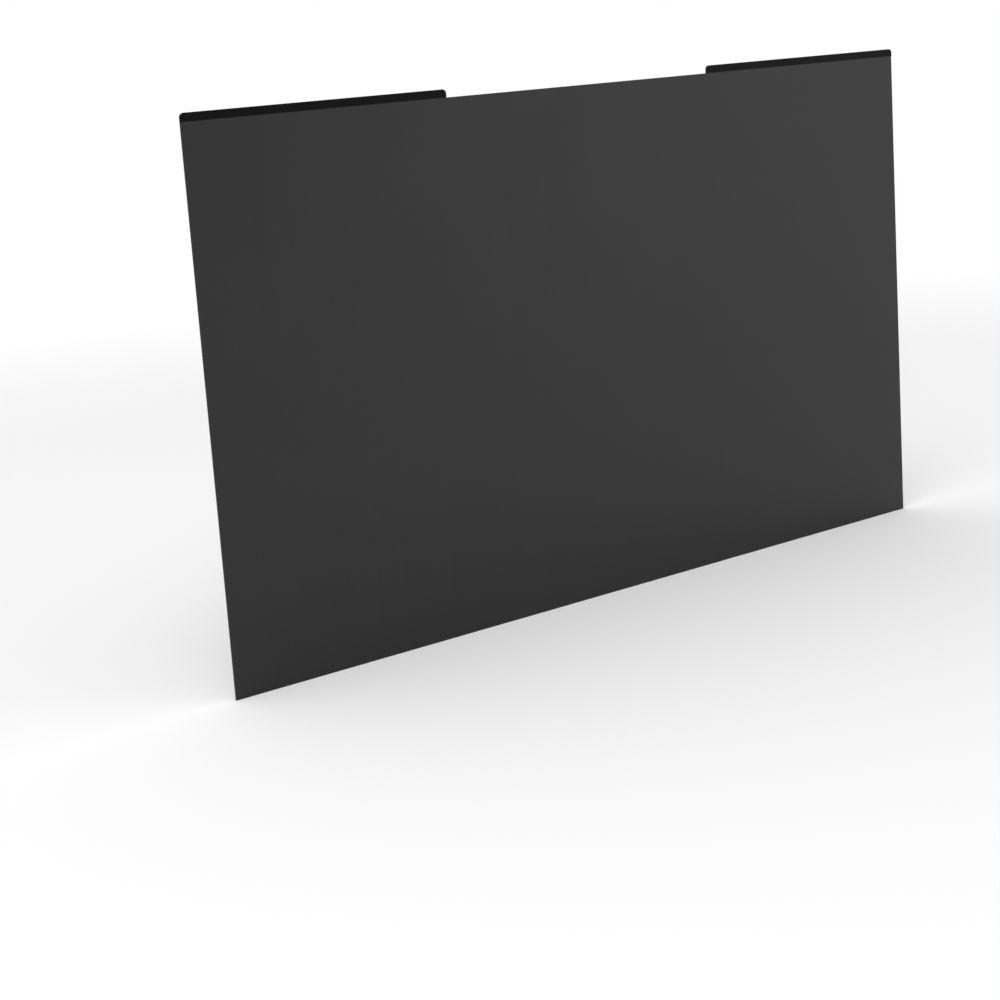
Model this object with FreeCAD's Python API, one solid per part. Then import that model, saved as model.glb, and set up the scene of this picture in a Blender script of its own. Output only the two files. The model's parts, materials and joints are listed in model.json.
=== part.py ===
import FreeCAD, Part
import os
from math import sqrt

# Monitor privacy filter: a dark louvred film that hangs by two magnetic strips on its top edge.
# Millimetres. +Z is up, the front faces -Y and the mounting side faces +Y.
# The origin is the middle of the mounting line: midway between the two strips, at half their
# height, on the plane of the magnets' back faces.

# Film sheet, of the 24 inch size in 16:9
sheet_width = 531.0
sheet_height = 299.0
sheet_thickness = 0.55
sheet_corner_radius = 0.5

# Ears, the two stretches of the film's top edge that stand up and carry the strips
ear_length = 167.0
ear_height = 4.5
ear_corner_radius = 2.5
ear_root_radius = 0.5

# Cover strips on the ears' front faces
cover_thickness = 0.25
cover_edge_radius = 0.08

# Magnet strips on the ears' back faces
magnet_thickness = 1.0
magnet_end_setback = 1.5
magnet_side_setback = 0.4
magnet_corner_radius = 0.6
magnet_edge_chamfer = 0.15

# Adhesive tapes that bond the strips to the ears
tape_thickness = 0.1
tape_setback = 0.2

# Layers from the mounting plane to the front
magnet_back_y = 0.0
magnet_front_y = magnet_back_y - magnet_thickness
sheet_back_y = magnet_front_y - tape_thickness
sheet_front_y = sheet_back_y - sheet_thickness
cover_back_y = sheet_front_y - tape_thickness
cover_front_y = cover_back_y - cover_thickness

# Edges of the film's outline
ear_top_z = ear_height / 2
ear_root_z = -ear_height / 2
sheet_bottom_z = ear_root_z - sheet_height
side_x = sheet_width / 2
ear_inner_x = side_x - ear_length


def rounded_outline(corners, y):
    """Closed wire on the plane at y, through square corners (x, z, radius) rounded by arcs."""
    points = [FreeCAD.Vector(x, y, z) for x, z, radius in corners]
    rounds = []
    for index, point in enumerate(points):
        radius = corners[index][2]
        back = (points[index - 1] - point).normalize()
        ahead = (points[(index + 1) % len(points)] - point).normalize()
        middle = point + (back + ahead) * radius * (1 - 1 / sqrt(2))
        rounds.append((point + back * radius, middle, point + ahead * radius))
    edges = []
    for index, (start, middle, end) in enumerate(rounds):
        if corners[index][2] > 0:
            edges.append(Part.Arc(start, middle, end).toShape())
        following = rounds[(index + 1) % len(rounds)][0]
        edges.append(Part.LineSegment(end, following).toShape())
    return Part.Wire(edges)


def cut_sheet(corners, front_y, back_y):
    """Flat piece with a rounded outline, from its front plane to its back plane."""
    face = Part.Face(rounded_outline(corners, front_y))
    return face.extrude(FreeCAD.Vector(0, back_y - front_y, 0))


def edges_on_plane(solid, y):
    """Edges of a solid that lie on the plane at y."""
    tolerance = 1e-6
    return [e for e in solid.Edges if all(abs(v.Y - y) < tolerance for v in e.Vertexes)]


def film_sheet():
    """The film, with an ear at each end of its top edge and a shallow notch between the ears."""
    corners = [
        (-side_x, sheet_bottom_z, sheet_corner_radius),
        (side_x, sheet_bottom_z, sheet_corner_radius),
        (side_x, ear_top_z, ear_corner_radius),
        (ear_inner_x, ear_top_z, ear_corner_radius),
        (ear_inner_x, ear_root_z, ear_root_radius),
        (-ear_inner_x, ear_root_z, ear_root_radius),
        (-ear_inner_x, ear_top_z, ear_corner_radius),
        (-side_x, ear_top_z, ear_corner_radius),
    ]
    return cut_sheet(corners, sheet_front_y, sheet_back_y)


def ear_corners(side, end_setback, side_setback, top_radius, root_radius):
    """Outline of a strip on one ear, set back from the ear's ends and from its long edges."""
    outer_x = side * (side_x - end_setback)
    inner_x = side * (ear_inner_x + end_setback)
    top_z = ear_top_z - side_setback
    root_z = ear_root_z + side_setback
    return [
        (outer_x, root_z, root_radius),
        (outer_x, top_z, top_radius),
        (inner_x, top_z, top_radius),
        (inner_x, root_z, root_radius),
    ]


def cover_strip(side):
    """Black strip that covers an ear's front, with its front edges eased."""
    corners = ear_corners(side, 0.0, 0.0, ear_corner_radius, 0.0)
    strip = cut_sheet(corners, cover_front_y, cover_back_y)
    eased = strip.makeFillet(cover_edge_radius, edges_on_plane(strip, cover_front_y))
    return eased.Solids[0]


def cover_tape(side):
    """Tape between an ear's front and its cover strip."""
    radius = max(ear_corner_radius - tape_setback, 0.0)
    corners = ear_corners(side, tape_setback, tape_setback, radius, 0.0)
    return cut_sheet(corners, cover_back_y, sheet_front_y)


def magnet_strip(side):
    """Flexible magnet on an ear's back, with chamfered edges round its mounting face."""
    radius = magnet_corner_radius
    corners = ear_corners(side, magnet_end_setback, magnet_side_setback, radius, radius)
    strip = cut_sheet(corners, magnet_front_y, magnet_back_y)
    chamfered = strip.makeChamfer(magnet_edge_chamfer, edges_on_plane(strip, magnet_back_y))
    return chamfered.Solids[0]


def magnet_tape(side):
    """Tape between an ear's back and its magnet."""
    radius = max(magnet_corner_radius - tape_setback, 0.0)
    end_setback = magnet_end_setback + tape_setback
    side_setback = magnet_side_setback + tape_setback
    corners = ear_corners(side, end_setback, side_setback, radius, radius)
    return cut_sheet(corners, sheet_back_y, magnet_front_y)


pieces = {"privacy_sheet": film_sheet()}
for side_name, side in (("left", -1), ("right", 1)):
    pieces[f"{side_name}_cover_strip"] = cover_strip(side)
    pieces[f"{side_name}_cover_tape"] = cover_tape(side)
    pieces[f"{side_name}_magnet_strip"] = magnet_strip(side)
    pieces[f"{side_name}_magnet_tape"] = magnet_tape(side)

os.makedirs("parts", exist_ok=True)
for name, shape in pieces.items():
    shape.exportStep(f"parts/{name}.step")
    print(name, shape.ShapeType, shape.isValid(), round(shape.Volume, 3))
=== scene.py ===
import json
import math
import bpy
from mathutils import Matrix, Vector


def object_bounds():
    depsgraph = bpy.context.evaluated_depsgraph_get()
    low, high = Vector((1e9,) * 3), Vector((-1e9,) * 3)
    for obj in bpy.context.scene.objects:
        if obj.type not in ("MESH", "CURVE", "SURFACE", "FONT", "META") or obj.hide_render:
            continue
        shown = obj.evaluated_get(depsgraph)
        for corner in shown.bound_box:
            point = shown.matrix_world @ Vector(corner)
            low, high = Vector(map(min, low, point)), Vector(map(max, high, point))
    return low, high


# Looks of a monitor privacy filter: a dark louvred film with two black magnetic strips on its top edge.
# Metres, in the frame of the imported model: +Z up, the front faces -Y and the back faces +Y.

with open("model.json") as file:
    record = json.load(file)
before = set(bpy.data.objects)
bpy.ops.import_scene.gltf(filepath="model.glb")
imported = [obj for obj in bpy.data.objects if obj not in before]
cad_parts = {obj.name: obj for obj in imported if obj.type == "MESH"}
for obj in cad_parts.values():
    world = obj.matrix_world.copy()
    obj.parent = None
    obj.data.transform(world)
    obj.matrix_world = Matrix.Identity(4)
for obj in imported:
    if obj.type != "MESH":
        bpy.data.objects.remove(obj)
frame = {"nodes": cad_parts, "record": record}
cad_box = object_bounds()
MM = 0.001
MICRON = 0.000001

# Camera, recovered from the sheet's corners in the photograph
IMAGE_SIDE_PX = 1000
FOCAL_PX = 2149.7
SENSOR_WIDTH_MM = 36.0
CAMERA_PLACE = (-0.8236, -0.9347, 0.0338)
CAMERA_AZIMUTH_DEG = -38.538
CAMERA_PITCH_DEG = -12.423
CAMERA_ROLL_DEG = -3.915
LEVEL_TILT_DEG = 90.0

# Noise: the range that most of its values lie in, and how finely it is broken up
NOISE_RANGE = (0.3, 0.7)
PLAIN_DETAIL = 2.0
FINE_DETAIL = 3.0

# Film: each of its two faces stops the share FILM_FACE_ALPHA, so about 0.6 % passes through both
FILM_FACE_ALPHA = 0.92
FILM_IOR = 1.457
FILM_TONE = (0.001, 0.004)
FILM_ROUGHNESS = (0.29, 0.34)
STREAK_SIZES = (0.5 * MM, 50 * MM, 180 * MM)
STREAK_DETAIL = 4.0
ETCH_SIZES = (0.3 * MM,) * 3
ETCH_HEIGHT = 3 * MICRON
MOTTLE_SIZES = (60 * MM,) * 3
WAVE_SIZES = (110 * MM, 110 * MM, 160 * MM)
WAVE_DETAIL = 1.0
WAVE_HEIGHT = 80 * MICRON

# Cover strips
COVER_SPECULAR = 0.10
COVER_TONE = (0.0008, 0.0018)
COVER_ROUGHNESS = (0.34, 0.46)
COVER_CLOUD_SIZES = (9 * MM,) * 3
COVER_GRAIN_SIZES = (0.35 * MM,) * 3
COVER_GRAIN_HEIGHT = 6 * MICRON

# Magnet strips
MAGNET_SPECULAR = 0.25
MAGNET_DARK = (0.008, 0.0073, 0.0066, 1.0)
MAGNET_PALE = (0.022, 0.0201, 0.0186, 1.0)
MAGNET_DARK_AT = 0.35
MAGNET_PALE_AT = 0.68
MAGNET_ROUGHNESS = (0.62, 0.8)
LINE_SIZES = (60 * MM, 0.25 * MM, 0.25 * MM)
LINE_HEIGHT = 12 * MICRON
LINE_SHARE = 0.4
POWDER_SIZES = (0.18 * MM,) * 3
POWDER_HEIGHT = 8 * MICRON
POWDER_SHARE = 0.6

# Adhesive tapes
TAPE_TONE = (0.012, 0.03)
TAPE_ROUGHNESS = (0.35, 0.55)
TAPE_CLOUD_SIZES = (0.8 * MM,) * 3
TAPE_CLOUD_HEIGHT = 10 * MICRON

# Studio: a floor that fades to white, white walls with a duller opening in front, and two soft lamps
FLOOR_SIDE = 24.0
FLOOR_WHITE = 0.93
FLOOR_FADE = (0.7, 1.6)
WORLD_LIGHT = 0.80
WALL_GLOW = 1.0
FRONT_GLOW = 0.28
FRONT_EDGE_DEG = 46.0
FRONT_MIDDLE_DEG = 22.0
KEY_SIZE = 2.2
KEY_WATTS = 42.0
KEY_PLACE = (-1.6, -1.2, 2.4)
FILL_WIDTH = 0.7
FILL_HEIGHT = 1.2
FILL_WATTS = 1.2
FILL_PLACE = (1.59, -1.93, 0.31)


def cleared_tree(block):
    """Emptied node tree of a material or a world."""
    block.use_nodes = True
    block.node_tree.nodes.clear()
    return block.node_tree


def add_node(tree, kind, **settings):
    """New shader node with its properties set."""
    node = tree.nodes.new(kind)
    for name, value in settings.items():
        setattr(node, name, value)
    return node


def new_material(name, constants):
    """Material with one Principled shader, and plain values on that shader's sockets."""
    material = bpy.data.materials.new(name)
    tree = cleared_tree(material)
    output = add_node(tree, "ShaderNodeOutputMaterial")
    shader = add_node(tree, "ShaderNodeBsdfPrincipled")
    for socket_name, value in constants.items():
        shader.inputs[socket_name].default_value = value
    tree.links.new(shader.outputs[0], output.inputs["Surface"])
    return material, tree, shader


def calculate(tree, operation, first, second):
    """Maths on two sockets or numbers, returning the result socket."""
    node = add_node(tree, "ShaderNodeMath", operation=operation)
    for socket, value in zip(node.inputs, (first, second)):
        if isinstance(value, float):
            socket.default_value = value
        else:
            tree.links.new(value, socket)
    return node.outputs[0]


def spread(tree, value, given, wanted, curve="LINEAR"):
    """Clamped map of a socket from the given range to the wanted one."""
    node = add_node(tree, "ShaderNodeMapRange", interpolation_type=curve)
    tree.links.new(value, node.inputs["Value"])
    for name, limit in zip(("From Min", "From Max", "To Min", "To Max"), given + wanted):
        node.inputs[name].default_value = limit
    return node.outputs["Result"]


def grain(tree, sizes, detail):
    """Noise whose features have the given sizes along X, Y and Z, in metres."""
    place = add_node(tree, "ShaderNodeTexCoord")
    scale = add_node(tree, "ShaderNodeVectorMath", operation="MULTIPLY")
    scale.inputs[1].default_value = [1 / size for size in sizes]
    tree.links.new(place.outputs["Object"], scale.inputs[0])
    noise = add_node(tree, "ShaderNodeTexNoise")
    noise.inputs["Scale"].default_value = 1.0
    noise.inputs["Detail"].default_value = detail
    tree.links.new(scale.outputs[0], noise.inputs["Vector"])
    return noise.outputs["Fac"]


def vary(tree, noise, limits, socket):
    """Makes a shader's socket follow a noise between two limits."""
    tree.links.new(spread(tree, noise, NOISE_RANGE, limits), socket)


def bumps(tree, shader, *layers):
    """Chain of bump layers (noise, height in metres) into a shader's normal."""
    below = None
    for noise, height in layers:
        bump = add_node(tree, "ShaderNodeBump")
        bump.inputs["Distance"].default_value = height
        tree.links.new(noise, bump.inputs["Height"])
        if below:
            tree.links.new(below, bump.inputs["Normal"])
        below = bump.outputs["Normal"]
    tree.links.new(below, shader.inputs["Normal"])


def film_material():
    """Anti-glare louvre film: faint upright streaks, a fine etched grain and a slight waviness."""
    constants = {"IOR": FILM_IOR, "Alpha": FILM_FACE_ALPHA}
    material, tree, shader = new_material("louvre_film", constants)
    streaks = grain(tree, STREAK_SIZES, STREAK_DETAIL)
    etch = grain(tree, ETCH_SIZES, PLAIN_DETAIL)
    mottle = grain(tree, MOTTLE_SIZES, PLAIN_DETAIL)
    waves = grain(tree, WAVE_SIZES, WAVE_DETAIL)
    vary(tree, streaks, FILM_TONE, shader.inputs["Base Color"])
    vary(tree, mottle, FILM_ROUGHNESS, shader.inputs["Roughness"])
    bumps(tree, shader, (waves, WAVE_HEIGHT), (etch, ETCH_HEIGHT))
    return material


def cover_material():
    """Satin black cover strip with a fine moulded grain."""
    constants = {"Specular IOR Level": COVER_SPECULAR}
    material, tree, shader = new_material("cover_strip", constants)
    moulded = grain(tree, COVER_GRAIN_SIZES, FINE_DETAIL)
    cloud = grain(tree, COVER_CLOUD_SIZES, PLAIN_DETAIL)
    vary(tree, cloud, COVER_TONE, shader.inputs["Base Color"])
    vary(tree, moulded, COVER_ROUGHNESS, shader.inputs["Roughness"])
    bumps(tree, shader, (moulded, COVER_GRAIN_HEIGHT))
    return material


def magnet_material():
    """Ferrite rubber: extruded lines along its length and speckles of ferrite powder."""
    constants = {"Specular IOR Level": MAGNET_SPECULAR}
    material, tree, shader = new_material("flexible_magnet", constants)
    lines = grain(tree, LINE_SIZES, FINE_DETAIL)
    powder = grain(tree, POWDER_SIZES, FINE_DETAIL)
    line_part = calculate(tree, "MULTIPLY", lines, LINE_SHARE)
    powder_part = calculate(tree, "MULTIPLY", powder, POWDER_SHARE)
    colour = add_node(tree, "ShaderNodeValToRGB")
    dark, pale = colour.color_ramp.elements
    dark.position = MAGNET_DARK_AT
    dark.color = MAGNET_DARK
    pale.position = MAGNET_PALE_AT
    pale.color = MAGNET_PALE
    tree.links.new(calculate(tree, "ADD", line_part, powder_part), colour.inputs["Fac"])
    tree.links.new(colour.outputs["Color"], shader.inputs["Base Color"])
    vary(tree, powder, MAGNET_ROUGHNESS, shader.inputs["Roughness"])
    bumps(tree, shader, (lines, LINE_HEIGHT), (powder, POWDER_HEIGHT))
    return material


def tape_material():
    """Dark adhesive tape with a cloudy, slightly tacky surface."""
    material, tree, shader = new_material("adhesive_tape", {})
    cloud = grain(tree, TAPE_CLOUD_SIZES, FINE_DETAIL)
    vary(tree, cloud, TAPE_TONE, shader.inputs["Base Color"])
    vary(tree, cloud, TAPE_ROUGHNESS, shader.inputs["Roughness"])
    bumps(tree, shader, (cloud, TAPE_CLOUD_HEIGHT))
    return material


def dress_nodes():
    """Puts each piece's finish on the slots of its own object."""
    finishes = {
        "louvre_film": film_material(),
        "cover_strip": cover_material(),
        "flexible_magnet": magnet_material(),
        "adhesive_tape": tape_material(),
    }
    for part in frame["record"]["subparts"]:
        piece = frame["nodes"][part["node"]]
        for slot in piece.material_slots:
            slot.material = finishes[part["material_slot"]]


def floor_material():
    """Matte floor that camera, mirror and see-through rays show as plain white away from the object."""
    material = bpy.data.materials.new("pale_floor")
    tree = cleared_tree(material)
    output = add_node(tree, "ShaderNodeOutputMaterial")
    matte = add_node(tree, "ShaderNodeBsdfDiffuse")
    matte.inputs["Color"].default_value = (FLOOR_WHITE, FLOOR_WHITE, FLOOR_WHITE, 1.0)
    white = add_node(tree, "ShaderNodeEmission")
    place = add_node(tree, "ShaderNodeTexCoord")
    distance = add_node(tree, "ShaderNodeVectorMath", operation="LENGTH")
    tree.links.new(place.outputs["Object"], distance.inputs[0])
    far = spread(tree, distance.outputs["Value"], FLOOR_FADE, (0.0, 1.0), "SMOOTHSTEP")
    path = add_node(tree, "ShaderNodeLightPath")
    seen = calculate(tree, "MAXIMUM", path.outputs["Is Camera Ray"], path.outputs["Is Glossy Ray"])
    seen = calculate(tree, "MAXIMUM", seen, path.outputs["Is Transmission Ray"])
    mix = add_node(tree, "ShaderNodeMixShader")
    tree.links.new(calculate(tree, "MULTIPLY", far, seen), mix.inputs["Fac"])
    tree.links.new(matte.outputs[0], mix.inputs[1])
    tree.links.new(white.outputs[0], mix.inputs[2])
    tree.links.new(mix.outputs[0], output.inputs["Surface"])
    return material


def make_floor():
    """Square floor under the sheet's lower edge."""
    half = FLOOR_SIDE / 2
    height = cad_box[0].z
    mesh = bpy.data.meshes.new("floor")
    corners = [(-half, -half, height), (half, -half, height), (half, half, height), (-half, half, height)]
    mesh.from_pydata(corners, [], [(0, 1, 2, 3)])
    mesh.materials.append(floor_material())
    floor = bpy.data.objects.new("floor", mesh)
    bpy.context.scene.collection.objects.link(floor)


def make_world():
    """White studio with a duller opening in front, which a camera and a see-through ray show as white."""
    world = bpy.data.worlds.new("studio")
    bpy.context.scene.world = world
    tree = cleared_tree(world)
    output = add_node(tree, "ShaderNodeOutputWorld")
    background = add_node(tree, "ShaderNodeBackground")
    background.inputs["Color"].default_value = (1.0, 1.0, 1.0, 1.0)
    path = add_node(tree, "ShaderNodeLightPath")
    direction = add_node(tree, "ShaderNodeTexCoord")
    axes = add_node(tree, "ShaderNodeSeparateXYZ")
    tree.links.new(direction.outputs["Generated"], axes.inputs[0])
    middle = -math.cos(math.radians(FRONT_MIDDLE_DEG))
    edge = -math.cos(math.radians(FRONT_EDGE_DEG))
    walls = spread(tree, axes.outputs["Y"], (middle, edge), (FRONT_GLOW, WALL_GLOW), "SMOOTHSTEP")
    level = calculate(tree, "MAXIMUM", path.outputs["Is Glossy Ray"], WORLD_LIGHT)
    light = calculate(tree, "MULTIPLY", walls, level)
    direct = calculate(tree, "MAXIMUM", path.outputs["Is Camera Ray"], path.outputs["Is Transmission Ray"])
    tree.links.new(calculate(tree, "MAXIMUM", light, direct), background.inputs["Strength"])
    tree.links.new(background.outputs[0], output.inputs["Surface"])


def make_lamp(name, place, width, height, watts):
    """Soft lamp that faces the middle of the object."""
    lamp = bpy.data.lights.new(name, "AREA")
    lamp.shape = "RECTANGLE"
    lamp.size = width
    lamp.size_y = height
    lamp.energy = watts
    holder = bpy.data.objects.new(name, lamp)
    holder.location = place
    aim = (cad_box[0] + cad_box[1]) / 2 - Vector(place)
    holder.rotation_euler = aim.to_track_quat("-Z", "Y").to_euler()
    bpy.context.scene.collection.objects.link(holder)


def make_camera():
    """Camera at the photograph's viewpoint."""
    data = bpy.data.cameras.new("camera")
    data.sensor_fit = "HORIZONTAL"
    data.sensor_width = SENSOR_WIDTH_MM
    data.lens = SENSOR_WIDTH_MM * FOCAL_PX / IMAGE_SIDE_PX
    camera = bpy.data.objects.new("camera", data)
    turn = Matrix.Rotation(math.radians(CAMERA_AZIMUTH_DEG), 4, "Z")
    tilt = Matrix.Rotation(math.radians(LEVEL_TILT_DEG + CAMERA_PITCH_DEG), 4, "X")
    roll = Matrix.Rotation(math.radians(CAMERA_ROLL_DEG), 4, "Z")
    camera.matrix_world = Matrix.Translation(CAMERA_PLACE) @ turn @ tilt @ roll
    bpy.context.scene.collection.objects.link(camera)
    bpy.context.scene.camera = camera


dress_nodes()
make_floor()
make_world()
make_lamp("key", KEY_PLACE, KEY_SIZE, KEY_SIZE, KEY_WATTS)
make_lamp("fill", FILL_PLACE, FILL_WIDTH, FILL_HEIGHT, FILL_WATTS)
make_camera()
bpy.context.scene.view_settings.view_transform = "Standard"
